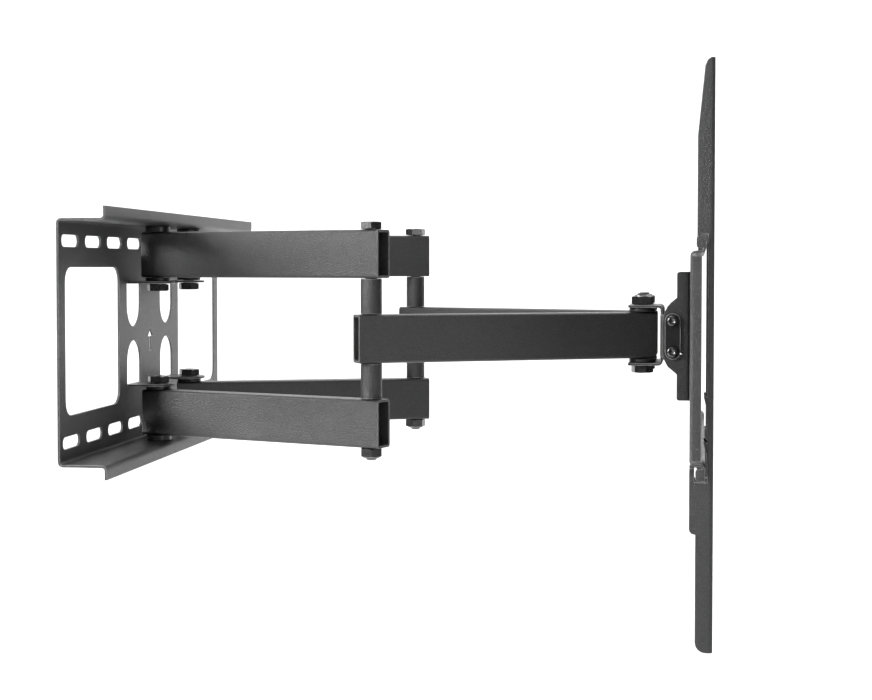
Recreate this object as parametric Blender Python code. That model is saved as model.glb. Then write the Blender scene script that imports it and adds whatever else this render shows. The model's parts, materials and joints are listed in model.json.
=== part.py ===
"""Full motion TV wall mount: wall plate, two folding arm pairs, swivel head, tilt bracket, crossbar and rails.

Frame: the wall is the plane X = 0, +X points into the room, +Z is up, and the origin is the middle of the
wall plate's back face. Everything is in metres. "near" pieces lie at -Y and "far" pieces at +Y.
"""

import math

import bmesh
import bpy
from mathutils import Matrix, Vector

GAP = 0.0003  # play between pieces that touch

# Wall plate: a panel with a flange and a lip along its top and bottom edges
PLATE_WIDTH = 0.462
PLATE_HEIGHT = 0.195  # over the flanges
PLATE_DEPTH = 0.040
PLATE_SHEET = 0.002
PLATE_BEND = 0.002  # inner radius of the folds
LIP_HEIGHT = 0.0095  # how far a lip stands past its flange
WINDOW_WIDTH = 0.130
WINDOW_HEIGHT = 0.118
WINDOW_CENTRE_Y = 0.152
WINDOW_RADIUS = 0.012
WALL_SLOT_PITCH = 0.053
WALL_SLOT_FIRST_Y = 0.046
WALL_SLOT_LENGTH = 0.038
WALL_SLOT_WIDTH = 0.0096
WALL_SLOT_Z = 0.080
TAB_WIDTH = 0.038
TAB_REACH = 0.039
TAB_TOP_Z = 0.0465
TAB_OPENING_END_Z = 0.006
ARROW_TIP_Z = 0.003
ARROW_TAIL_Z = -0.018

# Arms: square-cut rectangular tubes, 40 x 20 mm
TUBE_HEIGHT = 0.040
TUBE_WIDTH = 0.020
TUBE_WALL = 0.002
TUBE_RADIUS = 0.0025
REAR_ARM_ENDS = (0.011, 0.012)  # tube past the wall pivot and past the elbow
FOREARM_ENDS = (0.013, 0.009)  # tube past the elbow and past the head pivot
REAR_ARM_Z = 0.070
REAR_ARM_LENGTH = 0.2207
WALL_PIVOT_X = 0.0245
WALL_PIVOT_Y = 0.048
HEAD_PIVOT_X = 0.454
HEAD_PIVOT_Y = 0.024
# With this length both arm pairs fold flat at the same moment
FOREARM_LENGTH = REAR_ARM_LENGTH + WALL_PIVOT_Y - HEAD_PIVOT_Y
SPACER_RADIUS = 0.0089
OPEN_PIVOT_PLAY = 0.0015  # the far forearm's last bolt hole

# M10 fasteners
BOLT_RADIUS = 0.005
BOLT_FLATS = 0.017
BOLT_HEAD = 0.0064
JAM_NUT_HEIGHT = 0.008
LOCK_NUT_HEIGHT = 0.0085
WASHER_RADIUS = 0.011
HEAD_WASHER_RADIUS = 0.0115

# Swivel bracket, in the head's own frame: +X towards the screen, origin between the two head pivots
HEAD_TURN = math.radians(-2.1)  # the head stands slightly swivelled
SWIVEL_SHEET = 0.0022
SWIVEL_HEIGHT = 0.0524
SWIVEL_HALF_WIDTH = 0.037
SWIVEL_REAR_X = -0.012
SWIVEL_WEB_X = 0.0180  # front face
SIDE_TAB_Y = 0.0477  # outer face
SIDE_TAB_X = 0.0325
SIDE_TAB_HEIGHT = 0.036

# Tilt bracket: a plate with two trapezoid ears, which turns about a line along Y
TILT_AXIS_X = 0.0412
TILT_UP = math.radians(10)
TILT_DOWN = math.radians(20)
TILT_SHEET = 0.002
TILT_PLATE_X = 0.0419
TILT_HEIGHT = 0.110
EAR_Y = 0.050  # outer face
EAR_TOP_X = 0.030
EAR_BULGE_X = 0.0180  # rearmost
EAR_CURVE = ((0.0300, 0.0325), (0.0223, 0.0260), (0.0192, 0.0200), (0.0180, 0.0130))  # (X, Z)
TILT_SCREW_X = 0.0266
TILT_SCREW_Z = 0.0132
TILT_SCREW_RADIUS = 0.003
TILT_SCREW_HEAD_RADIUS = 0.005
TILT_SCREW_HEAD = 0.0033
CLAMP_WIDTH = 0.0131
CLAMP_LENGTH = 0.0394
CLAMP_SHEET = 0.002
RIVET_Y = 0.030
RIVET_Z = 0.036

# Crossbar: a panel that steps forward into a lip along its top and bottom edges
BAR_LENGTH = 0.450
BAR_SHEET = 0.002
BAR_CENTRE_Z = -0.009
BAR_PANEL_X = 0.0422  # back face
BAR_LIP_X = 0.0540  # front face
BAR_STEP_Z = 0.0795  # from the bar's middle line to the step
BAR_LIP_Z = 0.0915
BAR_FLANGE_X = 0.0509
BAR_FLANGE_HALF_HEIGHT = 0.0765
BAR_END_LIP_X = 0.0467
BAR_END_BEND = 0.003  # outer radius

# Rails: channels that hook over the crossbar's lips
RAIL_Y = 0.200
RAIL_WIDTH = 0.030
RAIL_SHEET = 0.002
RAIL_FRONT_X = 0.0601
RAIL_TOP_Z = 0.2155
RAIL_BOTTOM_Z = -0.2315
RAIL_CENTRE_Z = (RAIL_TOP_Z + RAIL_BOTTOM_Z) / 2
RAIL_SLOT_PITCH = 0.050
RAIL_SLOT_WIDTH = 0.0085
RAIL_SLOT_LENGTH = 0.026
RAIL_SPURS = {"near": (-0.0375, -0.0725), "far": ()}  # Z of each spur's tip

for old in list(bpy.data.objects):
    bpy.data.objects.remove(old, do_unlink=True)


def material(name, colour, roughness, metallic):
    made = bpy.data.materials.new(name)
    made.use_nodes = True
    shader = made.node_tree.nodes["Principled BSDF"]
    shader.inputs["Base Color"].default_value = (*colour, 1)
    shader.inputs["Roughness"].default_value = roughness
    shader.inputs["Metallic"].default_value = metallic
    return made


POWDER_COAT = material("powder_coat", (0.022, 0.023, 0.024), 0.55, 0.0)
BLACK_ZINC = material("black_zinc", (0.030, 0.030, 0.032), 0.35, 0.9)
BLACK_NYLON = material("black_nylon", (0.012, 0.012, 0.013), 0.5, 0.0)


# ---------------------------------------------------------------- shapes


def add_object(name, shape, finish, parent=None, location=(0, 0, 0), turn_x=0.0, turn_z=0.0):
    """The bmesh becomes a named object. turn_x is applied first, then turn_z."""
    bmesh.ops.recalc_face_normals(shape, faces=shape.faces)
    mesh = bpy.data.meshes.new(name)
    shape.to_mesh(mesh)
    shape.free()
    mesh.shade_smooth()
    mesh.set_sharp_from_angle(angle=math.radians(30))
    made = bpy.data.objects.new(name, mesh)
    made.location = location
    made.rotation_euler = (turn_x, 0, turn_z)
    made.parent = parent
    if finish:
        mesh.materials.append(finish)
    bpy.context.collection.objects.link(made)
    return made


def add_empty(name, location, turn_z=0.0, parent=None):
    made = bpy.data.objects.new(name, None)
    made.location = location
    made.rotation_euler = (0, 0, turn_z)
    made.parent = parent
    bpy.context.collection.objects.link(made)
    return made


def boolean(target, operation, name, shape):
    """Applies a helper shape to the target with a Boolean. The helper is placed as the target is."""
    helper = add_object(name, shape, None, target.parent, target.location)
    helper.rotation_euler = target.rotation_euler
    helper.hide_render = True
    helper.display_type = "WIRE"
    modifier = target.modifiers.new(name, "BOOLEAN")
    modifier.operation = operation
    modifier.object = helper
    modifier.solver = "EXACT"


def arc(centre_u, centre_v, radius, start, end, steps):
    """Points on an arc, angles in degrees, both ends included."""
    angles = [math.radians(start + (end - start) * i / steps) for i in range(steps + 1)]
    return [(centre_u + radius * math.cos(a), centre_v + radius * math.sin(a)) for a in angles]


def rounded_rectangle(centre_u, centre_v, width, height, radius, steps=4):
    outline = []
    for sign_u, sign_v, start in ((1, 1, 0), (-1, 1, 90), (-1, -1, 180), (1, -1, 270)):
        corner_u = centre_u + sign_u * (width / 2 - radius)
        corner_v = centre_v + sign_v * (height / 2 - radius)
        outline += arc(corner_u, corner_v, radius, start, start + 90, steps)
    return outline


def obround(centre_u, centre_v, length, width, steps=6, upright=False):
    """A slot outline with two round ends, along u or, when upright, along v."""
    reach = (length - width) / 2
    if upright:
        return arc(centre_u, centre_v + reach, width / 2, 0, 180, steps) + arc(
            centre_u, centre_v - reach, width / 2, 180, 360, steps
        )
    return arc(centre_u + reach, centre_v, width / 2, -90, 90, steps) + arc(
        centre_u - reach, centre_v, width / 2, 90, 270, steps
    )


def circle(centre_u, centre_v, radius, sides):
    return arc(centre_u, centre_v, radius, 0, 360, sides)[:-1]


def arc_slot(centre_u, centre_v, radius, width, start, end, steps=5):
    """A slot bent round a centre, with round ends, between two angles in degrees."""
    inner, outer = radius - width / 2, radius + width / 2

    def end_cap(angle, first):
        at_u = centre_u + radius * math.cos(math.radians(angle))
        at_v = centre_v + radius * math.sin(math.radians(angle))
        return arc(at_u, at_v, width / 2, first, first + 180, 6)[1:-1]

    return (
        arc(centre_u, centre_v, outer, start, end, steps)
        + end_cap(end, end)
        + arc(centre_u, centre_v, inner, end, start, steps)
        + end_cap(start, start + 180)
    )


def sheet_outline(path, thickness, inner_radius, steps=3):
    """Outline of a folded sheet whose middle line follows the path, with a round fold at each corner."""
    points = [Vector(point) for point in path]
    half = thickness / 2
    fold = inner_radius + half
    left, right = [], []

    def add(point, direction):
        side = Vector((-direction.y, direction.x)) * half
        left.append(tuple(point + side))
        right.append(tuple(point - side))

    add(points[0], (points[1] - points[0]).normalized())
    for before, corner, after in zip(points, points[1:], points[2:]):
        into = (corner - before).normalized()
        out = (after - corner).normalized()
        turn = math.atan2(into.x * out.y - into.y * out.x, into.dot(out))
        start = corner - into * fold * math.tan(abs(turn) / 2)
        inward = Vector((-into.y, into.x)) * math.copysign(1, turn)
        centre = start + inward * fold
        for step in range(steps + 1):
            spin = Matrix.Rotation(turn * step / steps, 2)
            add(centre - (spin @ inward) * fold, spin @ into)
    add(points[-1], (points[-1] - points[-2]).normalized())
    return left + right[::-1]


def to_point(axis, along, u, v):
    """(u, v) is (Y, Z) across X, (X, Z) across Y and (X, Y) across Z."""
    return {"X": (along, u, v), "Y": (u, along, v), "Z": (u, v, along)}[axis]


def add_prism(shape, outline, axis, low, high):
    """Adds the outline to the bmesh as a closed solid, extruded along the axis from low to high."""
    ends = [[shape.verts.new(to_point(axis, along, *point)) for point in outline] for along in (low, high)]
    shape.faces.new(ends[0])
    shape.faces.new(ends[1][::-1])
    join_loops(shape, *ends)
    return shape


def join_loops(shape, first, second):
    """A band of quads between two loops of the same length."""
    count = len(first)
    for i in range(count):
        j = (i + 1) % count
        shape.faces.new((first[i], second[i], second[j], first[j]))


def prism(outline, axis, low, high):
    return add_prism(bmesh.new(), outline, axis, low, high)


def hollow_prism(outer, inner, axis, low, high):
    """A prism with a matching hole along it: both outlines have the same number of points."""
    shape = bmesh.new()
    loops = [
        [shape.verts.new(to_point(axis, along, *point)) for point in outline]
        for outline, along in ((outer, low), (outer, high), (inner, high), (inner, low))
    ]
    for first, second in zip(loops, loops[1:] + loops[:1]):
        join_loops(shape, first, second)
    return shape


def ring(outer_radius, inner_radius, low, high, sides=20):
    return hollow_prism(
        circle(0, 0, outer_radius, sides), circle(0, 0, inner_radius, sides), "Z", low, high
    )


def hexagon_to_round(shape, hexagon, rounded):
    """Closes the flat between a hexagon and a 12-sided loop inside it."""
    for i in range(6):
        shape.faces.new(
            (
                hexagon[i],
                hexagon[(i + 1) % 6],
                rounded[(2 * i + 2) % 12],
                rounded[2 * i + 1],
                rounded[2 * i],
            )
        )


def loop_at(shape, radius, sides, height):
    return [shape.verts.new((u, v, height)) for u, v in circle(0, 0, radius, sides)]


def hex_bolt(radius, length, flats, head):
    """A bolt along Z: the underside of its head is at 0, and the shank runs down."""
    shape = bmesh.new()
    corner = flats / math.sqrt(3)
    low, high = loop_at(shape, corner, 6, 0), loop_at(shape, corner, 6, head)
    shank, end = loop_at(shape, radius, 12, 0), loop_at(shape, radius, 12, -length)
    shape.faces.new(high)
    shape.faces.new(end)
    join_loops(shape, low, high)
    join_loops(shape, shank, end)
    hexagon_to_round(shape, low, shank)
    return shape


def hex_nut(bore, height, flats):
    """A nut on Z, from 0 up to its height."""
    shape = bmesh.new()
    corner = flats / math.sqrt(3)
    low, high = loop_at(shape, corner, 6, 0), loop_at(shape, corner, 6, height)
    bore_low, bore_high = loop_at(shape, bore, 12, 0), loop_at(shape, bore, 12, height)
    join_loops(shape, low, high)
    join_loops(shape, bore_low, bore_high)
    hexagon_to_round(shape, low, bore_low)
    hexagon_to_round(shape, high, bore_high)
    return shape


def turned(profile, sides=16):
    """A solid turned about Z from a profile of (radius, height), first and last on the axis."""
    shape = bmesh.new()
    bottom = shape.verts.new((0, 0, profile[0][1]))
    top = shape.verts.new((0, 0, profile[-1][1]))
    loops = [loop_at(shape, radius, sides, height) for radius, height in profile[1:-1]]
    for first, second in zip(loops, loops[1:]):
        join_loops(shape, first, second)
    for tip, loop in ((bottom, loops[0]), (top, loops[-1])):
        for i in range(sides):
            shape.faces.new((tip, loop[i], loop[(i + 1) % sides]))
    return shape


def tube(length, ends, first_hole, last_hole):
    """An open rectangular tube along X, drilled for the pivots at 0 and at its length."""
    outer = rounded_rectangle(0, 0, TUBE_WIDTH, TUBE_HEIGHT, TUBE_RADIUS, 3)
    inner_width = TUBE_WIDTH - 2 * TUBE_WALL
    inner_height = TUBE_HEIGHT - 2 * TUBE_WALL
    inner = rounded_rectangle(0, 0, inner_width, inner_height, TUBE_RADIUS - TUBE_WALL, 3)
    body = hollow_prism(outer, inner, "X", -ends[0], length + ends[1])
    holes = bmesh.new()
    for at, radius in ((0, first_hole), (length, last_hole)):
        add_prism(holes, circle(at, 0, radius, 16), "Z", -TUBE_HEIGHT, TUBE_HEIGHT)
    return body, holes


# ---------------------------------------------------------------- the linkage's layout


def head_point(x, y, z=0.0):
    """A point of the head's own frame, in the world."""
    return Matrix.Translation((HEAD_PIVOT_X, 0, 0)) @ Matrix.Rotation(HEAD_TURN, 4, "Z") @ Vector((x, y, z))


def elbow_of(wall_pivot, head_pivot, side):
    """Where the two arm lengths meet, on the outer side."""
    span = head_pivot - wall_pivot
    reach = span.length
    along = (REAR_ARM_LENGTH**2 - FOREARM_LENGTH**2 + reach**2) / (2 * reach)
    out = math.sqrt(REAR_ARM_LENGTH**2 - along**2)
    unit = span / reach
    return wall_pivot + unit * along + Vector((-unit.y, unit.x)) * out * side


def heading(start, end):
    return math.atan2(end.y - start.y, end.x - start.x)


SIDES = {"near": -1, "far": 1}
WALL_PIVOT = {name: Vector((WALL_PIVOT_X, side * WALL_PIVOT_Y)) for name, side in SIDES.items()}
HEAD_PIVOT = {name: head_point(0, side * HEAD_PIVOT_Y).xy for name, side in SIDES.items()}
ELBOW = {name: elbow_of(WALL_PIVOT[name], HEAD_PIVOT[name], side) for name, side in SIDES.items()}


# ---------------------------------------------------------------- wall plate


def wall_plate():
    half = PLATE_HEIGHT / 2 - PLATE_SHEET / 2
    lip = PLATE_HEIGHT / 2 + LIP_HEIGHT
    back = PLATE_SHEET / 2
    front = PLATE_DEPTH - PLATE_SHEET / 2
    path = [(front, lip), (front, half), (back, half), (back, -half), (front, -half), (front, -lip)]
    outline = sheet_outline(path, PLATE_SHEET, PLATE_BEND)
    plate = add_object(
        "wall_plate",
        prism(outline, "Y", -PLATE_WIDTH / 2, PLATE_WIDTH / 2),
        POWDER_COAT,
    )
    boolean(plate, "UNION", "wall_plate_tabs", wall_tabs())
    boolean(plate, "DIFFERENCE", "wall_plate_openings", wall_openings())
    return plate


def wall_tabs():
    """Four tabs, lanced from the panel and folded out flat, which carry the arms' inner sides."""
    tabs = bmesh.new()
    end_centre = TAB_REACH - TAB_WIDTH / 2
    for side in (-1, 1):
        centre = side * WALL_PIVOT_Y
        outline = [(PLATE_SHEET / 2, centre + TAB_WIDTH / 2), (PLATE_SHEET / 2, centre - TAB_WIDTH / 2)]
        outline += arc(end_centre, centre, TAB_WIDTH / 2, -90, 90, 10)
        for low in (TAB_TOP_Z - PLATE_SHEET, -TAB_TOP_Z):
            add_prism(tabs, outline, "Z", low, low + PLATE_SHEET)
    return tabs


def wall_openings():
    holes = bmesh.new()
    through = (-PLATE_SHEET, 2 * PLATE_SHEET)
    tab_inside = TAB_TOP_Z - PLATE_SHEET
    for side in (-1, 1):
        window = rounded_rectangle(
            side * WINDOW_CENTRE_Y, 0, WINDOW_WIDTH, WINDOW_HEIGHT, WINDOW_RADIUS
        )
        add_prism(holes, window, "X", *through)
        for end in (-1, 1):
            for i in range(4):
                centre = side * (WALL_SLOT_FIRST_Y + i * WALL_SLOT_PITCH)
                slot = obround(centre, end * WALL_SLOT_Z, WALL_SLOT_LENGTH, WALL_SLOT_WIDTH)
                add_prism(holes, slot, "X", *through)
            centre = side * WALL_PIVOT_Y
            arch_centre = TAB_OPENING_END_Z + TAB_WIDTH / 2
            arch = [(centre + TAB_WIDTH / 2, tab_inside), (centre - TAB_WIDTH / 2, tab_inside)]
            arch += arc(centre, arch_centre, TAB_WIDTH / 2, 180, 360, 10)
            add_prism(holes, [(u, end * v) for u, v in arch], "X", *through)
            for middle in (TAB_TOP_Z - PLATE_SHEET / 2, PLATE_HEIGHT / 2 - PLATE_SHEET / 2):
                low, high = end * middle - PLATE_SHEET, end * middle + PLATE_SHEET
                bore = circle(WALL_PIVOT_X, centre, BOLT_RADIUS + GAP, 16)
                add_prism(holes, bore, "Z", low, high)
    barb, stem = 0.0075, 0.003
    shoulder = ARROW_TIP_Z - barb
    arrow = [(0, ARROW_TIP_Z), (-barb, shoulder), (-stem, shoulder), (-stem, ARROW_TAIL_Z)]
    arrow += [(stem, ARROW_TAIL_Z), (stem, shoulder), (barb, shoulder)]
    add_prism(holes, arrow, "X", *through)
    return holes


def wall_pivot(level, end, name, side):
    """Bolt with its head against the tab, two washers that carry the arm, and a nut past the flange."""
    tail = f"{level}_{name}"
    x, y = WALL_PIVOT_X, side * WALL_PIVOT_Y
    tab_inside = TAB_TOP_Z - PLATE_SHEET
    flange_inside = PLATE_HEIGHT / 2 - PLATE_SHEET
    seat = tab_inside - GAP
    nut_base = PLATE_HEIGHT / 2 + GAP
    upside_down = math.pi if end > 0 else 0.0
    length = nut_base + JAM_NUT_HEIGHT + GAP - seat
    bolt = hex_bolt(BOLT_RADIUS, length, BOLT_FLATS, BOLT_HEAD)
    add_object(f"pivot_bolt_{tail}", bolt, BLACK_ZINC, None, (x, y, end * seat), upside_down)
    nut = hex_nut(BOLT_RADIUS + GAP, JAM_NUT_HEIGHT, BOLT_FLATS)
    nut_turn = 0.0 if end > 0 else math.pi
    add_object(f"pivot_nut_{tail}", nut, BLACK_ZINC, None, (x, y, end * nut_base), nut_turn)
    arm_inside = REAR_ARM_Z - TUBE_HEIGHT / 2
    arm_outside = REAR_ARM_Z + TUBE_HEIGHT / 2
    for place, low, high in (("inner", TAB_TOP_Z, arm_inside), ("outer", arm_outside, flange_inside)):
        washer = ring(WASHER_RADIUS, BOLT_RADIUS + GAP, low + GAP, high - GAP)
        add_object(f"pivot_washer_{place}_{tail}", washer, BLACK_NYLON, None, (x, y, 0), nut_turn)


# ---------------------------------------------------------------- arms


def rear_arm(name):
    """Upper and lower tubes of one side, joined at the elbow by a long bolt through two spacers."""
    angle = heading(WALL_PIVOT[name], ELBOW[name])
    pivot = add_empty(f"rear_arm_{name}_pivot", (*WALL_PIVOT[name], 0), angle)
    bore = BOLT_RADIUS + GAP
    for level, height in (("upper", REAR_ARM_Z), ("lower", -REAR_ARM_Z)):
        body, holes = tube(REAR_ARM_LENGTH, REAR_ARM_ENDS, bore, bore)
        arm = add_object(f"rear_arm_{level}_{name}", body, POWDER_COAT, pivot, (0, 0, height))
        boolean(arm, "DIFFERENCE", f"rear_arm_{level}_{name}_holes", holes)
    outside = REAR_ARM_Z + TUBE_HEIGHT / 2 + GAP
    length = 2 * outside + LOCK_NUT_HEIGHT + 0.0015
    bolt = hex_bolt(BOLT_RADIUS, length, BOLT_FLATS, BOLT_HEAD)
    add_object(f"elbow_bolt_{name}", bolt, BLACK_ZINC, pivot, (REAR_ARM_LENGTH, 0, outside))
    nut = hex_nut(bore, LOCK_NUT_HEIGHT, BOLT_FLATS)
    add_object(f"elbow_nut_{name}", nut, BLACK_ZINC, pivot, (REAR_ARM_LENGTH, 0, -outside), math.pi)
    low = TUBE_HEIGHT / 2 + GAP
    high = REAR_ARM_Z - TUBE_HEIGHT / 2 - GAP
    for level, turn in (("upper", 0.0), ("lower", math.pi)):
        spacer = ring(SPACER_RADIUS, bore, low, high, 24)
        add_object(
            f"elbow_spacer_{level}_{name}", spacer, POWDER_COAT, pivot, (REAR_ARM_LENGTH, 0, 0), turn
        )


def forearm(name, head_hole):
    angle = heading(ELBOW[name], HEAD_PIVOT[name])
    body, holes = tube(FOREARM_LENGTH, FOREARM_ENDS, BOLT_RADIUS + GAP, head_hole)
    arm = add_object(f"forearm_{name}", body, POWDER_COAT, None, (*ELBOW[name], 0), 0.0, angle)
    boolean(arm, "DIFFERENCE", f"forearm_{name}_holes", holes)


# ---------------------------------------------------------------- swivel head


def swivel_bracket(head):
    """A channel that takes both forearms, with side tabs folded forward for the tilt screws."""
    middle = SWIVEL_SHEET / 2
    web = SWIVEL_WEB_X - middle
    top = SWIVEL_HEIGHT / 2 - middle
    channel = sheet_outline(
        [(SWIVEL_REAR_X, top), (web, top), (web, -top), (SWIVEL_REAR_X, -top)], SWIVEL_SHEET, 0.002
    )
    bracket = add_object(
        "swivel_bracket",
        prism(channel, "Y", -SWIVEL_HALF_WIDTH, SWIVEL_HALF_WIDTH),
        POWDER_COAT,
        head,
    )
    side = SIDE_TAB_Y - middle
    wings = sheet_outline(
        [(SIDE_TAB_X, side), (web, side), (web, -side), (SIDE_TAB_X, -side)], SWIVEL_SHEET, 0.002
    )
    boolean(
        bracket,
        "UNION",
        "swivel_side_tabs",
        prism(wings, "Z", -SIDE_TAB_HEIGHT / 2, SIDE_TAB_HEIGHT / 2),
    )
    holes = bmesh.new()
    for end in (-1, 1):
        bore = circle(0, end * HEAD_PIVOT_Y, BOLT_RADIUS + GAP, 16)
        add_prism(holes, bore, "Z", -SWIVEL_HEIGHT, SWIVEL_HEIGHT)
        bore = circle(TILT_SCREW_X, end * TILT_SCREW_Z, TILT_SCREW_RADIUS + GAP, 12)
        add_prism(holes, bore, "Y", -2 * SIDE_TAB_Y, 2 * SIDE_TAB_Y)
    boolean(bracket, "DIFFERENCE", "swivel_bracket_holes", holes)


def head_pivot(head, name, side):
    """Bolt from below, thick washers between the arm and the bracket, and a lock nut on top."""
    y = side * HEAD_PIVOT_Y
    outside = SWIVEL_HEIGHT / 2 + GAP
    length = 2 * outside + LOCK_NUT_HEIGHT + 0.0015
    bolt = hex_bolt(BOLT_RADIUS, length, BOLT_FLATS, BOLT_HEAD)
    add_object(f"head_bolt_{name}", bolt, BLACK_ZINC, head, (0, y, -outside), math.pi)
    nut = hex_nut(BOLT_RADIUS + GAP, LOCK_NUT_HEIGHT, BOLT_FLATS)
    add_object(f"head_nut_{name}", nut, BLACK_ZINC, head, (0, y, outside))
    low = TUBE_HEIGHT / 2 + GAP
    high = SWIVEL_HEIGHT / 2 - SWIVEL_SHEET - GAP
    for level, turn in (("upper", 0.0), ("lower", math.pi)):
        washer = ring(HEAD_WASHER_RADIUS, BOLT_RADIUS + GAP, low, high)
        add_object(f"head_washer_{level}_{name}", washer, BLACK_NYLON, head, (0, y, 0), turn)


def tilt_clamp(head, name, side):
    """An obround clamp plate outside the ear, with two button-head screws and their nuts."""
    inner = EAR_Y + GAP
    outer = inner + CLAMP_SHEET
    outline = obround(TILT_SCREW_X, 0, CLAMP_LENGTH, CLAMP_WIDTH, 8, upright=True)
    low, high = sorted((side * inner, side * outer))
    plate = add_object(f"tilt_clamp_{name}", prism(outline, "Y", low, high), BLACK_ZINC, head)
    holes = bmesh.new()
    for end in (-1, 1):
        bore = circle(TILT_SCREW_X, end * TILT_SCREW_Z, TILT_SCREW_RADIUS + GAP, 12)
        add_prism(holes, bore, "Y", low - CLAMP_SHEET, high + CLAMP_SHEET)
    boolean(plate, "DIFFERENCE", f"tilt_clamp_{name}_holes", holes)
    nut_height = 0.005
    nut_seat = SIDE_TAB_Y - SWIVEL_SHEET - GAP
    head_seat = outer + GAP
    shank = head_seat - nut_seat + nut_height + 0.001
    # A turn of 90 degrees about X takes +Z to -Y
    outward = -side * math.pi / 2
    for level, end in (("upper", 1), ("lower", -1)):
        height = end * TILT_SCREW_Z
        screw = turned(
            [
                (0, -shank),
                (TILT_SCREW_RADIUS, -shank),
                (TILT_SCREW_RADIUS, 0),
                (TILT_SCREW_HEAD_RADIUS, 0),
                (TILT_SCREW_HEAD_RADIUS * 0.92, TILT_SCREW_HEAD * 0.45),
                (TILT_SCREW_HEAD_RADIUS * 0.62, TILT_SCREW_HEAD),
                (0, TILT_SCREW_HEAD),
            ],
            12,
        )
        at = (TILT_SCREW_X, side * head_seat, height)
        add_object(f"tilt_screw_{level}_{name}", screw, BLACK_ZINC, head, at, outward)
        nut = hex_nut(TILT_SCREW_RADIUS + GAP, nut_height, 0.010)
        at = (TILT_SCREW_X, side * nut_seat, height)
        add_object(f"tilt_nut_{level}_{name}", nut, BLACK_ZINC, head, at, -outward)


# ---------------------------------------------------------------- tilt bracket, crossbar and rails


def ear_outline():
    """Side profile of the tilt bracket, (X, Z) from the tilt axis."""
    front = TILT_PLATE_X - TILT_AXIS_X
    top = TILT_HEIGHT / 2
    rear = EAR_TOP_X - TILT_AXIS_X
    upper = [(front, top)]
    upper += arc(rear + 0.002, top - 0.002, 0.002, 90, 180, 3)
    upper += [(x - TILT_AXIS_X, z) for x, z in EAR_CURVE]
    lower = [(x, -z) for x, z in reversed(upper)]
    return upper + lower


def tilt_bracket(tilt):
    plate = TILT_PLATE_X - TILT_SHEET / 2 - TILT_AXIS_X
    ear = EAR_Y - TILT_SHEET / 2
    rear = EAR_BULGE_X - TILT_AXIS_X - 0.005
    fold = sheet_outline([(rear, ear), (plate, ear), (plate, -ear), (rear, -ear)], TILT_SHEET, 0.0015)
    bracket = add_object(
        "tilt_bracket", prism(fold, "Z", -TILT_HEIGHT, TILT_HEIGHT), POWDER_COAT, tilt
    )
    boolean(bracket, "INTERSECT", "tilt_bracket_profile", prism(ear_outline(), "Y", -0.06, 0.06))
    screw_x = TILT_SCREW_X - TILT_AXIS_X
    radius = math.hypot(screw_x, TILT_SCREW_Z)
    width = 2 * (TILT_SCREW_RADIUS + GAP)
    rest = math.degrees(math.atan2(TILT_SCREW_Z, screw_x))
    up, down = math.degrees(TILT_UP) + 1, math.degrees(TILT_DOWN) + 1
    slots = bmesh.new()
    for side in (-1, 1):
        for low, high in ((rest - up, rest + down), (-rest - up, -rest + down)):
            outline = arc_slot(0, 0, radius, width, low, high)
            ends = sorted((side * (EAR_Y - 0.004), side * (EAR_Y + 0.002)))
            add_prism(slots, outline, "Y", *ends)
    for y in (-RIVET_Y, RIVET_Y):
        for z in (-RIVET_Z, RIVET_Z):
            add_prism(slots, circle(y, z, 0.003 + GAP, 12), "X", -0.003, 0.003)
    boolean(bracket, "DIFFERENCE", "tilt_bracket_slots", slots)


def crossbar(tilt):
    half = BAR_SHEET / 2
    panel = BAR_PANEL_X + half - TILT_AXIS_X
    lip = BAR_LIP_X - half - TILT_AXIS_X
    path = [(lip, BAR_LIP_Z), (lip, BAR_STEP_Z), (panel, BAR_STEP_Z)]
    path += [(x, -z) for x, z in reversed(path)]
    outline = [(x, z + BAR_CENTRE_Z) for x, z in sheet_outline(path, BAR_SHEET, 0.0018)]
    bar = add_object(
        "crossbar", prism(outline, "Y", -BAR_LENGTH / 2, BAR_LENGTH / 2), POWDER_COAT, tilt
    )
    flanges = bmesh.new()
    for side in (-1, 1):
        ends = sorted((side * BAR_LENGTH / 2, side * (BAR_LENGTH / 2 - BAR_SHEET)))
        depth = BAR_FLANGE_X - BAR_PANEL_X
        centre_x = BAR_PANEL_X + depth / 2 - TILT_AXIS_X
        flange = rounded_rectangle(
            centre_x, BAR_CENTRE_Z, depth, 2 * BAR_FLANGE_HALF_HEIGHT, 0.001, 2
        )
        add_prism(flanges, flange, "Y", *ends)
        depth = BAR_LIP_X - BAR_END_LIP_X
        centre_x = BAR_END_LIP_X + depth / 2 - TILT_AXIS_X
        for end in (-1, 1):
            height = 0.0093
            centre_z = BAR_CENTRE_Z + end * (BAR_LIP_Z - height / 2)
            block = rounded_rectangle(centre_x, centre_z, depth, height, 0.002, 2)
            add_prism(flanges, block, "Y", *ends)
    boolean(bar, "UNION", "crossbar_end_flanges", flanges)
    # The end flanges are folded, so the bar's rear corners are round
    front = BAR_LIP_X - TILT_AXIS_X + 0.001
    rear = BAR_PANEL_X - TILT_AXIS_X
    corner_x, corner_y = rear + BAR_END_BEND, BAR_LENGTH / 2 - BAR_END_BEND
    plan = [(front, BAR_LENGTH / 2)] + arc(corner_x, corner_y, BAR_END_BEND, 90, 180, 5)
    plan += arc(corner_x, -corner_y, BAR_END_BEND, 180, 270, 5) + [(front, -BAR_LENGTH / 2)]
    boolean(bar, "INTERSECT", "crossbar_plan", prism(plan, "Z", -2 * BAR_LIP_Z, 2 * BAR_LIP_Z))
    holes = bmesh.new()
    for y in (-RIVET_Y, RIVET_Y):
        for z in (-RIVET_Z, RIVET_Z):
            add_prism(holes, circle(y, z, 0.003 + GAP, 12), "X", -0.002, 0.007)
    boolean(bar, "DIFFERENCE", "crossbar_holes", holes)


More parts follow.
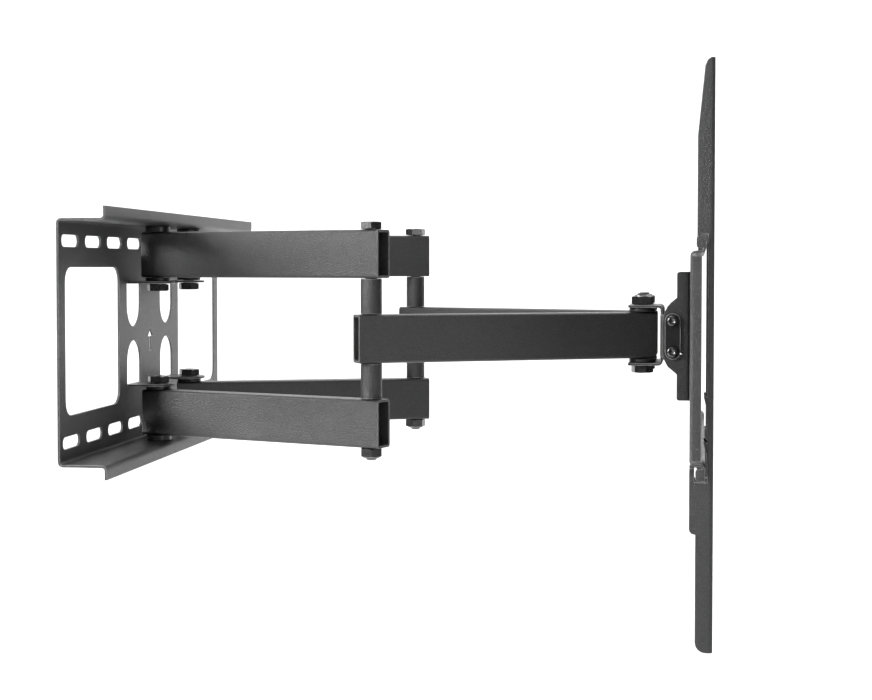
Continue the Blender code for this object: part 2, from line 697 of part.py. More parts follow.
def rivets(tilt):
    """Four rivets hold the tilt bracket's plate to the crossbar."""
    back = TILT_PLATE_X - TILT_SHEET - GAP - TILT_AXIS_X
    front = BAR_PANEL_X + BAR_SHEET + GAP - TILT_AXIS_X
    head_radius, head_height = 0.0055, 0.0018
    length = front - back
    names = (("upper", 1), ("lower", -1))
    for level, end in names:
        for name, side in SIDES.items():
            rivet = turned(
                [
                    (0, -head_height),
                    (head_radius * 0.6, -head_height),
                    (head_radius, 0),
                    (0.003, 0),
                    (0.003, length),
                    (head_radius, length),
                    (head_radius * 0.6, length + head_height),
                    (0, length + head_height),
                ],
                12,
            )
            made = add_object(f"crossbar_rivet_{level}_{name}", rivet, BLACK_ZINC, tilt)
            made.location = (back, side * RIVET_Y, end * RIVET_Z)
            made.rotation_euler = (0, math.pi / 2, 0)


def rail_outline(spurs):
    """Side profile of a rail, (X, Z) in the head's frame, from its front top corner round the back.

    A spur is a small notch with a pointed lower lip in the rear edge, given by its tip's Z.
    """
    wide, narrow, finger, rear, foot = 0.0472, 0.0554, 0.0499, 0.0420, 0.0467
    front = RAIL_FRONT_X + 0.001
    outline = [(front, RAIL_TOP_Z), (0.0571, RAIL_TOP_Z)]
    outline += [(0.0542, RAIL_TOP_Z - 0.0022), (0.0524, RAIL_TOP_Z - 0.0065)]
    outline += [(wide, 0.157), (wide, 0.075), (finger, 0.075), (finger, 0.084), (narrow, 0.084)]
    for tip_z in spurs:
        outline += [(narrow, tip_z - 0.0010), (0.0535, tip_z + 0.0012), (0.0526, tip_z)]
        outline += [(0.0533, tip_z - 0.0035), (narrow - 0.0008, tip_z - 0.0085)]
    outline += [(narrow, -0.0900), (narrow, -0.1024), (0.0459, -0.1024)]
    outline += arc(0.04395, -0.0936, 0.00195, 0, 180, 6)
    outline += arc(rear + 0.004, -0.1380, 0.004, 180, 270, 3)
    outline += [(foot, -0.1420)]
    corner = 0.008
    outline += arc(foot + corner, RAIL_BOTTOM_Z + corner, corner, 180, 270, 4)
    outline += [(front, RAIL_BOTTOM_Z)]
    return outline


def rail(tilt, name, side):
    """A channel, open to the back. Its object's origin is on the tilt axis, level with the rail's middle."""
    middle = RAIL_FRONT_X - RAIL_SHEET / 2 - TILT_AXIS_X
    wall = RAIL_WIDTH / 2 - RAIL_SHEET / 2
    fold = sheet_outline([(-0.005, -wall), (middle, -wall), (middle, wall), (-0.005, wall)], RAIL_SHEET, 0.001)
    made = add_object(
        f"rail_{name}",
        prism(fold, "Z", RAIL_BOTTOM_Z - 0.005, RAIL_TOP_Z + 0.005),
        POWDER_COAT,
        tilt,
        (0, side * RAIL_Y, 0),
    )
    outline = [(x - TILT_AXIS_X, z) for x, z in rail_outline(RAIL_SPURS[name])]
    boolean(made, "INTERSECT", f"rail_{name}_profile", prism(outline, "Y", -0.02, 0.02))
    slots = bmesh.new()
    for i in range(-4, 5):
        centre = RAIL_CENTRE_Z + i * RAIL_SLOT_PITCH
        slot = obround(0, centre, RAIL_SLOT_LENGTH, RAIL_SLOT_WIDTH, 6, upright=True)
        add_prism(slots, slot, "X", middle - 0.003, middle + 0.003)
    boolean(made, "DIFFERENCE", f"rail_{name}_slots", slots)


# ---------------------------------------------------------------- assembly

wall_plate()
for side_name, side_sign in SIDES.items():
    wall_pivot("upper", 1, side_name, side_sign)
    wall_pivot("lower", -1, side_name, side_sign)
    rear_arm(side_name)
forearm("near", BOLT_RADIUS + GAP)
forearm("far", BOLT_RADIUS + OPEN_PIVOT_PLAY)

head_frame = add_empty("head_frame", (HEAD_PIVOT_X, 0, 0), HEAD_TURN)
tilt_frame = add_empty("tilt_frame", (TILT_AXIS_X, 0, 0), 0.0, head_frame)
swivel_bracket(head_frame)
tilt_bracket(tilt_frame)
crossbar(tilt_frame)
rivets(tilt_frame)
for side_name, side_sign in SIDES.items():
    head_pivot(head_frame, side_name, side_sign)
    tilt_clamp(head_frame, side_name, side_sign)
    rail(tilt_frame, side_name, side_sign)
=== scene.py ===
"""Looks for the full motion TV wall mount: powder-coated steel, blackened fasteners and a studio.

Everything is in the row frame: the wall is the plane X = 0, +X points into the room and +Z is up.
"""

import json
import math

import bmesh
import bpy
from mathutils import Matrix, Vector

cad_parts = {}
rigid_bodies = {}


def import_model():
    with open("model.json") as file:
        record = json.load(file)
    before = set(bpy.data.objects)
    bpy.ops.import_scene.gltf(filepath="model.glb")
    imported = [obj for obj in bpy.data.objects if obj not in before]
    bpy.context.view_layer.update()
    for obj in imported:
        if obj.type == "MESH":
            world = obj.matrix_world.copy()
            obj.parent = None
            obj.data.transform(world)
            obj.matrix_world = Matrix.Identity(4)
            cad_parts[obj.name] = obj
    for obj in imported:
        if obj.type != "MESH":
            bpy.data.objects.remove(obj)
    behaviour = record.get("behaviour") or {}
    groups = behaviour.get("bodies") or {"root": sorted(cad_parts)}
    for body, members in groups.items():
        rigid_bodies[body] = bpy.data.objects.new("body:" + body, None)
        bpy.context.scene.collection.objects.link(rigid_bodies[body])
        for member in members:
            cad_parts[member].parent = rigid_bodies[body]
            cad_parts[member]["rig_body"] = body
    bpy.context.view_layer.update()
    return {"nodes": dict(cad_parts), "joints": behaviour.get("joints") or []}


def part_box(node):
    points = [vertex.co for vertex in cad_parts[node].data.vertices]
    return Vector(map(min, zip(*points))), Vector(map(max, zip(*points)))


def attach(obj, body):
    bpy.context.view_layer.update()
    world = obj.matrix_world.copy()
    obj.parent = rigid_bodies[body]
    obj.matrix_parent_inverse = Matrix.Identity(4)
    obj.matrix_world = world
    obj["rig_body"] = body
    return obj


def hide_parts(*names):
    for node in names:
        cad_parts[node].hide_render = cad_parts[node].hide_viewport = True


# Edges of the sheet metal and tubes
EDGE_RADIUS = 0.00035
CLAMP_EDGE = 0.0006
# COAT_EDGE and PLATE_EDGE are the widths of the painted highlight line along edges; on the coat, COAT_EDGE
# also rounds the shading normal there.
COAT_EDGE = 0.0008  # width of the lighter line along an edge of a coated piece
PLATE_EDGE = 0.0010  # and of a clamp plate
GRAIN_SCALE = 1050.0  # of the powder coat
CELL_SCALE = 1350.0
MOTTLE_SCALE = 420.0  # of the fasteners
EDGE_ANGLE = math.radians(38)  # sharper edges than this are rounded
CREASE_ANGLE = math.radians(34)  # and of the detailed pieces, these are kept crisp
WELD_DISTANCE = 0.00001
OPEN_EDGES = ("rear_arm", "forearm", "crossbar")  # nodes whose bevel keeps its full width

# Fasteners
HEX_POINTS = 72  # points round a hexagon, a multiple of six
HALF_CORNER = math.radians(30)  # from the middle of a hexagon's side to its corner
FLATS = 0.017
HEAD_HEIGHT = 0.0064
BORE_RADIUS = 0.0053
SHANK_RADIUS = 0.00495
THREAD_LENGTH = 0.017
THREAD_TIP = 0.0012  # length of the chamfer at a bolt's end
THREAD_TIP_INSET = 0.0011  # and its depth
THREAD_PITCH = 0.0015
THREAD_DEPTH = 0.0007
CHAMFER_CIRCLE = 0.475  # radius of the round top of a hexagon, over its flats
CHAMFER_SLOPE = math.tan(math.radians(22))
RIM = 0.00015  # small break along a hexagon's edges
WASHER_FACE = 0.0004
WASHER_FACE_RADIUS = 0.0080
COLLAR_HEIGHT = 0.0010  # nylon collar on top of a lock nut
HEAD_NUT_CORNER = math.radians(15)  # turn of one corner about Z
HEAD_BOLT_CORNER = math.radians(48)
PIVOT_WASHER_RIM = 0.0006
HEAD_WASHER_RIM = 0.0009

# Button-head screws, their nuts and the rivets
SCREW_HEAD_RADIUS = 0.0050
SCREW_HEAD_HEIGHT = 0.0033
SCREW_DOME_CENTRE = 0.0030  # radius at which the dome's curve ends
SCREW_SKIRT = 0.0006
SOCKET_FLATS = 0.0034
SOCKET_DEPTH = 0.0022
SCREW_SHANK_RADIUS = 0.0029
SMALL_NUT_FLATS = 0.0098
SMALL_NUT_BORE = 0.0033
RIVET_HEAD_RADIUS = 0.0054
RIVET_HEAD_HEIGHT = 0.0018
RIVET_SHANK_RADIUS = 0.0029
AXIS_RADIUS = 0.0004  # a domed end closes on a tiny circle of about this radius

# Camera
LENS = 65.02
CAMERA_PLACE = (0.4526, -1.4093, 0.0593)
CAMERA_TILT = math.radians(88.126)
CAMERA_TURN = math.radians(7.421)

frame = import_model()


# ---------------------------------------------------------------- materials


def new_material(name):
    """A material with its shader, and a function that adds a node and sets its inputs."""
    made = bpy.data.materials.new(name)
    made.use_nodes = True
    tree = made.node_tree

    def add(kind, **values):
        node = tree.nodes.new(kind)
        for key, value in values.items():
            if key in node.inputs:
                node.inputs[key].default_value = value
            else:
                setattr(node, key, value)
        return node

    return made, tree.nodes["Principled BSDF"], tree.links, add


def ramp(node, *stops):
    """Colour stops of a ramp as (place, grey)."""
    elements = node.color_ramp.elements
    while len(elements) < len(stops):
        elements.new(0.5)
    for element, (place, grey) in zip(elements, stops):
        element.position = place
        element.color = (grey, grey, grey * 1.01, 1)


def edge_normal_and_highlight_mask(add, links, radius):
    """A rounded normal near a mesh's edges, and a factor that is 1 on the edges and 0 on flat faces, which
    places the painted edge highlight.
    """
    rounded = add("ShaderNodeBevel", samples=6, Radius=radius)
    geometry = add("ShaderNodeNewGeometry")
    likeness = add("ShaderNodeVectorMath", operation="DOT_PRODUCT")
    links.new(rounded.outputs["Normal"], likeness.inputs[0])
    links.new(geometry.outputs["Normal"], likeness.inputs[1])
    factor = add("ShaderNodeMapRange")
    factor.inputs["From Min"].default_value = 0.995
    factor.inputs["From Max"].default_value = 0.90
    links.new(likeness.outputs["Value"], factor.inputs["Value"])
    return rounded.outputs["Normal"], factor.outputs["Result"]


# Painted highlight: a lighter grey mixed into the colour along the edges.
def painted_edge_highlight(add, links, shade, factor, grey):
    """The shade with its edges mixed to a lighter grey: a painted highlight along the edges."""
    mix = add("ShaderNodeMix", data_type="RGBA")
    links.new(factor, mix.inputs["Factor"])
    links.new(shade, mix.inputs["A"])
    mix.inputs["B"].default_value = (grey, grey, grey, 1)
    return mix.outputs["Result"]


def powder_coat(name, dark, light, roughness, bump, edge, speckle=0.10):
    """Fine-textured powder coat: grain in the height and the shade, with a painted highlight of lighter
    grey on edges.
    """
    made, shader, links, add = new_material(name)
    place = add("ShaderNodeTexCoord")
    grain = add("ShaderNodeTexNoise", Scale=GRAIN_SCALE, Detail=3.0, Roughness=0.62)
    cells = add("ShaderNodeTexVoronoi", Scale=CELL_SCALE, feature="SMOOTH_F1", Smoothness=0.6)
    for texture in (grain, cells):
        links.new(place.outputs["Object"], texture.inputs["Vector"])
    shade = add("ShaderNodeValToRGB")
    ramp(shade, (0.30, dark), (0.72, light))
    links.new(grain.outputs["Fac"], shade.inputs["Fac"])
    # Painted highlight: the edge grey is mixed into the colour along the edges.
    rounded, factor = edge_normal_and_highlight_mask(add, links, COAT_EDGE)
    colour = painted_edge_highlight(add, links, shade.outputs["Color"], factor, edge)
    links.new(colour, shader.inputs["Base Color"])
    spread = add("ShaderNodeMapRange")
    spread.inputs["From Min"].default_value = 0.3
    spread.inputs["From Max"].default_value = 0.7
    spread.inputs["To Min"].default_value = roughness - speckle
    spread.inputs["To Max"].default_value = roughness + speckle
    links.new(cells.outputs["Distance"], spread.inputs["Value"])
    links.new(spread.outputs["Result"], shader.inputs["Roughness"])
    height = add("ShaderNodeMath", operation="ADD")
    links.new(grain.outputs["Fac"], height.inputs[0])
    links.new(cells.outputs["Distance"], height.inputs[1])
    relief = add("ShaderNodeBump", Strength=bump, Distance=0.0005)
    links.new(height.outputs["Value"], relief.inputs["Height"])
    links.new(rounded, relief.inputs["Normal"])
    links.new(relief.outputs["Normal"], shader.inputs["Normal"])
    shader.inputs["Specular IOR Level"].default_value = 0.62
    return made


def blackened(name, dark, light, roughness, metallic, bump, edge=None):
    """Black zinc, oxide or nylon: faint mottling in shade and gloss, and a painted highlight of lighter
    grey on the edges if asked.
    """
    made, shader, links, add = new_material(name)
    place = add("ShaderNodeTexCoord")
    mottle = add("ShaderNodeTexNoise", Scale=MOTTLE_SCALE, Detail=4.0, Roughness=0.6)
    links.new(place.outputs["Object"], mottle.inputs["Vector"])
    shade = add("ShaderNodeValToRGB")
    ramp(shade, (0.3, dark), (0.7, light))
    links.new(mottle.outputs["Fac"], shade.inputs["Fac"])
    colour = shade.outputs["Color"]
    if edge:
        # Painted highlight: the edge grey is mixed into the colour along the plate's edges.
        rounded, factor = edge_normal_and_highlight_mask(add, links, PLATE_EDGE)
        colour = painted_edge_highlight(add, links, colour, factor, edge)
    links.new(colour, shader.inputs["Base Color"])
    spread = add("ShaderNodeMapRange")
    spread.inputs["To Min"].default_value = roughness - 0.08
    spread.inputs["To Max"].default_value = roughness + 0.10
    links.new(mottle.outputs["Fac"], spread.inputs["Value"])
    links.new(spread.outputs["Result"], shader.inputs["Roughness"])
    relief = add("ShaderNodeBump", Strength=bump, Distance=0.0002)
    links.new(mottle.outputs["Fac"], relief.inputs["Height"])
    links.new(relief.outputs["Normal"], shader.inputs["Normal"])
    shader.inputs["Metallic"].default_value = metallic
    return made


# Each coat's darkest and lightest grey, roughness, relief and the grey of its painted edge highlight
POWDER = powder_coat("powder_coat_black", 0.004, 0.024, 0.38, 0.80, 0.42)
# Painted shade: a darker copy of the powder coat, with a dimmer painted edge highlight, for the tilt
# bracket.
POWDER_PAINTED_SHADE = powder_coat("powder_coat_painted_shade", 0.003, 0.012, 0.42, 0.60, 0.10)
# Darkest and lightest grey, roughness, metallic value, relief and the grey of the painted edge highlight
ZINC = blackened("black_zinc_fastener", 0.110, 0.150, 0.17, 0.92, 0.02)
SCREW = blackened("black_oxide_screw", 0.080, 0.110, 0.20, 0.90, 0.02)
THREAD = blackened("black_thread", 0.020, 0.050, 0.38, 0.60, 0.10)
NYLON = blackened("black_nylon", 0.010, 0.018, 0.33, 0.0, 0.06)
# The clamp plates get a painted highlight of grey 0.45 along their edges.
CLAMP = blackened("black_zinc_plate", 0.006, 0.014, 0.36, 0.25, 0.05, 0.45)
COLLAR = blackened("nut_collar_nylon", 0.016, 0.030, 0.40, 0.0, 0.05)


# ---------------------------------------------------------------- sheet metal and tubes


def finish_metal(node, material, width):
    """A coat on a CAD node, with small rounded edges."""
    obj = frame["nodes"][node]
    obj.data.materials.clear()
    obj.data.materials.append(material)
    weld = obj.modifiers.new("weld", "WELD")
    weld.merge_threshold = WELD_DISTANCE
    edge = obj.modifiers.new("edges", "BEVEL")
    edge.width = width
    edge.segments = 2
    edge.limit_method = "ANGLE"
    edge.angle_limit = EDGE_ANGLE
    edge.use_clamp_overlap = not node.startswith(OPEN_EDGES)
    normals = obj.modifiers.new("normals", "WEIGHTED_NORMAL")
    normals.keep_sharp = True
    normals.weight = 80
    obj.data.shade_smooth()


# ---------------------------------------------------------------- turned and hexagonal pieces


def hexagon(flats, angle):
    """Distance from the centre to a hexagon's side at this angle."""
    return flats / 2 / math.cos((angle + HALF_CORNER) % (2 * HALF_CORNER) - HALF_CORNER)


def loops_mesh(loops, ring=False):
    """A mesh through loops of points, each with the same count, closed by caps or, as a ring, on itself."""
    shape = bmesh.new()
    rows = [[shape.verts.new(p) for p in loop] for loop in loops]
    if ring:
        rows.append(rows[0])
    count = len(rows[0])
    for low, high in zip(rows, rows[1:]):
        for i in range(count):
            j = (i + 1) % count
            shape.faces.new((low[i], low[j], high[j], high[i]))
    if not ring:
        shape.faces.new(list(reversed(rows[0])))
        shape.faces.new(rows[-1])
    return shape


def turned_loops(profile, count):
    """Loops of a turned shape from (radius, height) pairs, each a number or a function of the angle."""
    loops = []
    for radius, height in profile:
        loop = []
        for i in range(count):
            angle = 2 * math.pi * i / count
            r = radius(angle) if callable(radius) else radius
            z = height(angle) if callable(height) else height
            loop.append((r * math.cos(angle), r * math.sin(angle), z))
        loops.append(loop)
    return loops


def make_piece(name, shape, material, body, matrix, replaced=()):
    """The shape as a piece that rides on a CAD body and stands for the CAD nodes named."""
    bmesh.ops.recalc_face_normals(shape, faces=shape.faces)
    for face in shape.faces:
        face.smooth = True
    for edge in shape.edges:
        if len(edge.link_faces) == 2 and edge.calc_face_angle() > CREASE_ANGLE:
            edge.smooth = False
    mesh = bpy.data.meshes.new(name)
    shape.transform(matrix)
    shape.to_mesh(mesh)
    shape.free()
    mesh.materials.append(material)
    obj = bpy.data.objects.new(name, mesh)
    bpy.context.scene.collection.objects.link(obj)
    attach(obj, body)
    if replaced:
        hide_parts(*replaced)
    return obj


def hex_body(flats, low, high, bore=0.0, chamfer_low=False, recess=0.0):
    """A hexagon from low to high, its corners chamfered at the top and, on a nut, at the bottom."""
    circle = CHAMFER_CIRCLE * flats

    def side(angle):
        return hexagon(flats, angle)

    def side_in(angle):
        return hexagon(flats, angle) - RIM

    def fall(angle):
        return (hexagon(flats, angle) - circle) * CHAMFER_SLOPE

    loops = [(bore or 0.001, low)]
    if chamfer_low:
        loops += [(circle - 0.0002, low), (circle, low + 0.00002)]
        loops += [(side_in, lambda a: low + fall(a)), (side, lambda a: low + fall(a) + RIM)]
    else:
        loops += [(side_in, low), (side, low + RIM)]
    loops += [(side, lambda a: high - fall(a) - RIM), (side_in, lambda a: high - fall(a) + 0.00002)]
    loops += [(circle, high - 0.00002), (circle - 0.0002, high)]
    if bore:
        loops += [(bore + 0.0007, high), (bore, high - 0.0007)]
        return loops_mesh(turned_loops(loops, HEX_POINTS), ring=True)
    if recess:
        loops += [(circle * 0.62, high), (circle * 0.52, high - recess)]
        loops += [(circle * 0.2, high - recess * 1.1)]
    return loops_mesh(turned_loops(loops, HEX_POINTS))


def thread(length):
    """A threaded shank from 0 up to its length, with a chamfered end."""
    count, rows_per_turn = 40, 4
    rows = int(length / (THREAD_PITCH / rows_per_turn))
    loops = []
    for row in range(rows + 1):
        z = length * row / rows
        reach = max(0.0, 1 - (length - z) / THREAD_TIP)
        loop = []
        for i in range(count):
            turn = i / count
            phase = (z / THREAD_PITCH - turn) % 1.0
            inside = 0 < row < rows
            groove = THREAD_DEPTH * min(1.0, 2.2 * abs(phase - 0.5)) if inside else 0.0
            r = SHANK_RADIUS - max(groove, THREAD_TIP_INSET * reach)
            loop.append((r * math.cos(2 * math.pi * turn), r * math.sin(2 * math.pi * turn), z))
        loops.append(loop)
    loops.append([(x * 0.9, y * 0.9, length) for x, y, _ in loops[-1]])
    return loops_mesh(loops)


def lathe(profile, count=48):
    """A turned solid, its profile from one end of its axis to the other."""
    return loops_mesh(turned_loops(profile, count))


def tube_lathe(profile, count=48):
    """A turned ring, its profile a closed loop of (radius, height)."""
    return loops_mesh(turned_loops(profile, count), ring=True)


def joined(*shapes):
    """Several shapes in one bmesh."""
    total = bmesh.new()
    for shape in shapes:
        mesh = bpy.data.meshes.new("part")
        shape.to_mesh(mesh)
        shape.free()
        total.from_mesh(mesh)
        bpy.data.meshes.remove(mesh)
    bmesh.ops.remove_doubles(total, verts=total.verts, dist=1e-7)
    return total


def node_box(node):
    """A node's lowest corner, highest corner and middle."""
    low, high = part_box(node)
    return low, high, (low + high) / 2


def body_of(node):
    """Name of the body that a node belongs to."""
    return frame["nodes"][node]["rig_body"]


# ---------------------------------------------------------------- bolts along Z


def hexagon_turn(node):
    """Angle about Z of one corner of a node's hexagon."""
    _, _, middle = node_box(node)
    best = max(
        (v.co for v in frame["nodes"][node].data.vertices),
        key=lambda co: (round((co.xy - middle.xy).length, 5), co.x, co.y),
    )
    return math.atan2(best.y - middle.y, best.x - middle.x)


def corner_turn(node, corner):
    """Turn about Z that brings a hexagon's corner to the given angle, or else to the node's own corner."""
    return (hexagon_turn(node) if corner is None else corner) - HALF_CORNER


def bolt(node, head_up, corner=None):
    """A hex bolt along Z: chamfered head with a washer face, smooth shank, then thread."""
    low, high, middle = node_box(node)
    end = HEAD_HEIGHT - (high.z - low.z)
    thread_start = end + THREAD_LENGTH
    head = hex_body(FLATS, WASHER_FACE, HEAD_HEIGHT, recess=0.0005)
    face = [(0.001, 0.0), (WASHER_FACE_RADIUS - 0.0002, 0.0), (WASHER_FACE_RADIUS, 0.0001)]
    face.append((WASHER_FACE_RADIUS, WASHER_FACE))
    shank = [(0.001, 0.0), (SHANK_RADIUS, 0.0), (SHANK_RADIUS, thread_start), (0.001, thread_start)]
    turn = corner_turn(node, corner)
    seat = high.z - HEAD_HEIGHT if head_up else low.z + HEAD_HEIGHT
    place = Matrix.Translation((middle.x, middle.y, seat))
    if not head_up:
        place = place @ Matrix.Rotation(math.pi, 4, "X")
        turn = -turn
    place = place @ Matrix.Rotation(turn, 4, "Z")
    body = body_of(node)
    made = joined(head, lathe(face), lathe(shank))
    make_piece(f"{node}_made", made, ZINC, body, place, [node])
    over = place @ Matrix.Rotation(math.pi, 4, "X") @ Matrix.Translation((0, 0, -thread_start))
    make_piece(f"{node}_thread", thread(thread_start - end), THREAD, body, over)


def collar_rim(start):
    """The steel crimped round a lock nut's nylon ring."""
    outline = [(0.0056, -0.0002), (0.0074, -0.0002), (0.0073, 0.0004), (0.0069, 0.0008)]
    outline += [(0.0065, 0.0010), (0.0063, 0.0010), (0.0061, 0.0008), (0.0061, 0.0004)]
    return tube_lathe([(radius, start + height) for radius, height in outline])


def collar_ring(start):
    """The nylon ring of a lock nut."""
    outline = [(0.0054, 0.0), (0.0060, 0.0), (0.0060, 0.0006), (0.0057, 0.0008), (0.0054, 0.0006)]
    return tube_lathe([(radius, start + height) for radius, height in outline])


def nut(node, outward, collar, corner=None):
    """A hex nut along Z, chamfered at both ends, with a nylon collar where it is a lock nut."""
    low, high, middle = node_box(node)
    start = high.z - low.z - (COLLAR_HEIGHT if collar else 0.0)
    base = low.z if outward > 0 else high.z
    place = Matrix.Translation((middle.x, middle.y, base))
    if outward < 0:
        place = place @ Matrix.Rotation(math.pi, 4, "X")
    place = place @ Matrix.Rotation(corner_turn(node, corner) * outward, 4, "Z")
    body = body_of(node)
    parts = [hex_body(FLATS, 0.0, start, bore=BORE_RADIUS, chamfer_low=True)]
    if collar:
        parts.append(collar_rim(start))
        make_piece(f"{node}_collar", collar_ring(start), COLLAR, body, place)
    make_piece(f"{node}_made", joined(*parts), ZINC, body, place, [node])


def washer(node, edge):
    """A flat nylon ring along Z with rounded rims of radius edge."""
    low, high, middle = node_box(node)
    outer = (high.x - low.x) / 2
    half = (high.z - low.z) / 2
    edge = min(edge, half * 0.8)
    lead = 0.0003
    profile = [(BORE_RADIUS, -half + 0.0001), (BORE_RADIUS + lead, -half), (outer - edge, -half)]
    for i in range(1, 6):
        angle = math.radians(-90 + 30 * i)
        centre = (half - edge) * (1 if i > 3 else -1 if i < 3 else 0)
        profile.append((outer - edge + edge * math.cos(angle), centre + edge * math.sin(angle)))
    profile += [(outer - edge, half), (BORE_RADIUS + lead, half), (BORE_RADIUS, half - 0.0001)]
    place = Matrix.Translation(middle)
    made = tube_lathe(profile, 64)
    make_piece(f"{node}_made", made, NYLON, body_of(node), place, [node])


def spacer(node):
    """A powder-coated sleeve round the elbow bolt, with small end chamfers."""
    low, high, middle = node_box(node)
    outer = (high.x - low.x) / 2
    half = (high.z - low.z) / 2
    rim = 0.0005
    profile = [(BORE_RADIUS, -half + rim), (BORE_RADIUS + rim, -half)]
    profile += [(outer - rim, -half), (outer, -half + rim)]
    profile += [(outer, half - rim), (outer - rim, half)]
    profile += [(BORE_RADIUS + rim, half), (BORE_RADIUS, half - rim)]
    place = Matrix.Translation(middle)
    made = tube_lathe(profile, 64)
    make_piece(f"{node}_made", made, POWDER, body_of(node), place, [node])


# ---------------------------------------------------------------- screws and rivets on the head

joints = {joint["name"]: joint for joint in frame["joints"]}
HEAD_Y = Vector(joints["tilt"]["axis"]).normalized()
HEAD_X = HEAD_Y.cross(Vector((0, 0, 1)))


def along(node, axis, up="X"):
    """A node's length along an axis, and the placement of a shape that stands on its near end."""
    places = [v.co.dot(axis) for v in frame["nodes"][node].data.vertices]
    _, _, middle = node_box(node)
    base = middle + axis * (min(places) - middle.dot(axis))
    turn = axis.to_track_quat("Z", up).to_matrix().to_4x4()
    return max(places) - min(places), Matrix.Translation(base) @ turn


def button_screw(node, outward):
    """A button-head screw with a hexagon socket, its seat at the clamp plate."""
    length, place = along(node, HEAD_Y * outward)
    end = SCREW_HEAD_HEIGHT - length
    profile = [(0.0010, 0.0), (SCREW_HEAD_RADIUS - 0.0003, 0.0), (SCREW_HEAD_RADIUS, 0.0003)]
    profile.append((SCREW_HEAD_RADIUS, SCREW_SKIRT))
    for i in range(1, 8):
        angle = math.radians(11.5 * i)
        reach = (SCREW_HEAD_RADIUS - SCREW_DOME_CENTRE) * math.cos(angle)
        rise = (SCREW_HEAD_HEIGHT - SCREW_SKIRT) * math.sin(angle)
        profile.append((SCREW_DOME_CENTRE + reach, SCREW_SKIRT + rise))

    def socket(angle):
        return hexagon(SOCKET_FLATS, angle)

    top = SCREW_HEAD_HEIGHT
    profile += [(0.0031, top), (0.0024, top), (0.0022, top - 0.0002)]
    profile += [(socket, top - 0.0004), (socket, top - SOCKET_DEPTH), (0.0006, top - 0.0028)]
    head = loops_mesh(turned_loops(profile, HEX_POINTS))
    shank = [(0.0005, end), (0.0026, end), (SCREW_SHANK_RADIUS, end + 0.0004)]
    shank += [(SCREW_SHANK_RADIUS, 0.0001), (0.0005, 0.0001)]
    place = place @ Matrix.Translation((0, 0, -end))
    made = joined(head, lathe(shank))
    make_piece(f"{node}_made", made, SCREW, body_of(node), place, [node])


def small_nut(node, outward):
    """The hex nut inside the side tab."""
    length, place = along(node, HEAD_Y * outward)
    made = hex_body(SMALL_NUT_FLATS, 0.0, length, bore=SMALL_NUT_BORE, chamfer_low=True)
    make_piece(f"{node}_made", made, ZINC, body_of(node), place, [node])


def rivet(node):
    """A domed rivet along the head's X: a factory head at the back and a set head at the front."""
    length, place = along(node, HEAD_X, "Y")
    dome = []
    for i in range(7):
        angle = math.radians(15 * i)
        radius = max(AXIS_RADIUS, RIVET_HEAD_RADIUS * math.sin(angle))
        dome.append((radius, RIVET_HEAD_HEIGHT * (1 - math.cos(angle))))
    shank = [(RIVET_SHANK_RADIUS, RIVET_HEAD_HEIGHT), (RIVET_SHANK_RADIUS, length - RIVET_HEAD_HEIGHT)]
    far_dome = [(radius, length - height) for radius, height in reversed(dome)]
    made = lathe(dome + shank + far_dome)
    make_piece(f"{node}_made", made, ZINC, body_of(node), place, [node])


# ---------------------------------------------------------------- pieces

COATED = ("wall_plate", "rear_arm", "forearm", "swivel", "tilt_bracket", "rail_")
for node in sorted(frame["nodes"]):
    if node.startswith(COATED) or node == "crossbar":
        # The tilt bracket takes the darker copy of the coat: painted shade.
        coat = POWDER_PAINTED_SHADE if node == "tilt_bracket" else POWDER
        finish_metal(node, coat, EDGE_RADIUS)
    elif node.startswith("tilt_clamp"):
        finish_metal(node, CLAMP, CLAMP_EDGE)

for side, sign in (("near", -1), ("far", 1)):
    for level, up in (("upper", 1), ("lower", -1)):
        bolt(f"pivot_bolt_{level}_{side}", up < 0)
        nut(f"pivot_nut_{level}_{side}", up, False)
        for place_name in ("inner", "outer"):
            washer(f"pivot_washer_{place_name}_{level}_{side}", PIVOT_WASHER_RIM)
        washer(f"head_washer_{level}_{side}", HEAD_WASHER_RIM)
        spacer(f"elbow_spacer_{level}_{side}")
        button_screw(f"tilt_screw_{level}_{side}", sign)
        small_nut(f"tilt_nut_{level}_{side}", -sign)
        rivet(f"crossbar_rivet_{level}_{side}")
    bolt(f"elbow_bolt_{side}", True)
    nut(f"elbow_nut_{side}", -1, True)
    bolt(f"head_bolt_{side}", False, HEAD_BOLT_CORNER)
    nut(f"head_nut_{side}", 1, True, HEAD_NUT_CORNER)


# ---------------------------------------------------------------- studio


def studio_material(name, grey, roughness):
    """Plain matt paper."""
    made, shader, _, _ = new_material(name)
    shader.inputs["Base Color"].default_value = (grey, grey, grey, 1)
    shader.inputs["Roughness"].default_value = roughness
    shader.inputs["Specular IOR Level"].default_value = 0.2
    return made


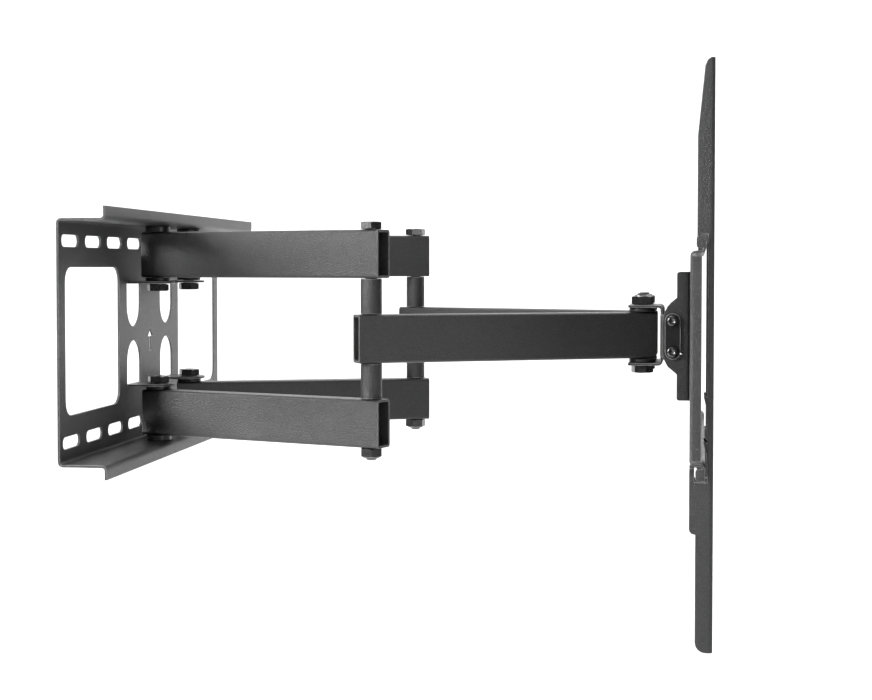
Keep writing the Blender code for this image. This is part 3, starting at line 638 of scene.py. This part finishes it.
def sweep(name, front, back, width, floor_z, top_z, radius, material):
    """A floor that curves up into a backdrop."""
    profile = [(front, floor_z)]
    for i in range(13):
        angle = math.radians(-90 + 90 * i / 12)
        y = back - radius + radius * math.cos(angle)
        profile.append((y, floor_z + radius + radius * math.sin(angle)))
    profile.append((back, top_z))
    shape = bmesh.new()
    rows = [[shape.verts.new((x, y, z)) for x in (-width, width)] for y, z in profile]
    for low, high in zip(rows, rows[1:]):
        shape.faces.new((low[0], low[1], high[1], high[0]))
    for face in shape.faces:
        face.smooth = True
    mesh = bpy.data.meshes.new(name)
    shape.to_mesh(mesh)
    shape.free()
    mesh.materials.append(material)
    obj = bpy.data.objects.new(name, mesh)
    bpy.context.scene.collection.objects.link(obj)
    return obj


def softbox(name, place, target, size, power):
    """A rectangular area light that faces its target."""
    lamp = bpy.data.lights.new(name, "AREA")
    lamp.shape = "RECTANGLE"
    lamp.size, lamp.size_y = size
    lamp.energy = power
    obj = bpy.data.objects.new(name, lamp)
    obj.location = place
    obj.rotation_euler = (Vector(target) - Vector(place)).to_track_quat("-Z", "Y").to_euler()
    bpy.context.scene.collection.objects.link(obj)
    return obj


PAPER = studio_material("studio_paper", 0.88, 0.85)
FLOOR_Z = -0.62  # clear of the mount, which hangs on its wall
BACKDROP_Y = 3.2
sweep("studio_sweep", -6.0, BACKDROP_Y, 7.0, FLOOR_Z, 5.0, 1.2, PAPER)

# Name, place, target, size and power in watts
softbox("left", (-1.9, -1.30, 0.95), (0.1, 0, 0), (1.2, 1.3), 140)
softbox("right", (2.1, -1.9, 0.45), (0.4, 0, 0), (1.0, 1.4), 14)
softbox("above_camera", (0.6, -2.3, 1.5), (0.4, 0, 0), (1.6, 0.9), 18)
softbox("overhead", (0.3, -0.3, 2.1), (0.3, 0, 0), (2.4, 1.6), 9)
softbox("backdrop_wash", (0.3, 1.5, 2.7), (0.3, 2.6, -0.6), (5.0, 1.4), 140)

world = bpy.data.worlds.new("studio")
bpy.context.scene.world = world
world.use_nodes = True
world.node_tree.nodes["Background"].inputs["Color"].default_value = (1, 1, 1, 1)
world.node_tree.nodes["Background"].inputs["Strength"].default_value = 0.03

# The camera stands a little above the mount's middle, almost square on to its near side
camera = bpy.data.cameras.new("camera")
camera.lens = LENS
camera.sensor_width = 36
camera.shift_x = -0.001
camera.shift_y = -0.0362
camera.clip_start, camera.clip_end = 0.05, 60
viewpoint = bpy.data.objects.new("camera", camera)
viewpoint.location = CAMERA_PLACE
viewpoint.rotation_euler = (CAMERA_TILT, 0, CAMERA_TURN)
bpy.context.scene.collection.objects.link(viewpoint)
bpy.context.scene.camera = viewpoint
bpy.context.scene.view_settings.view_transform = "Standard"
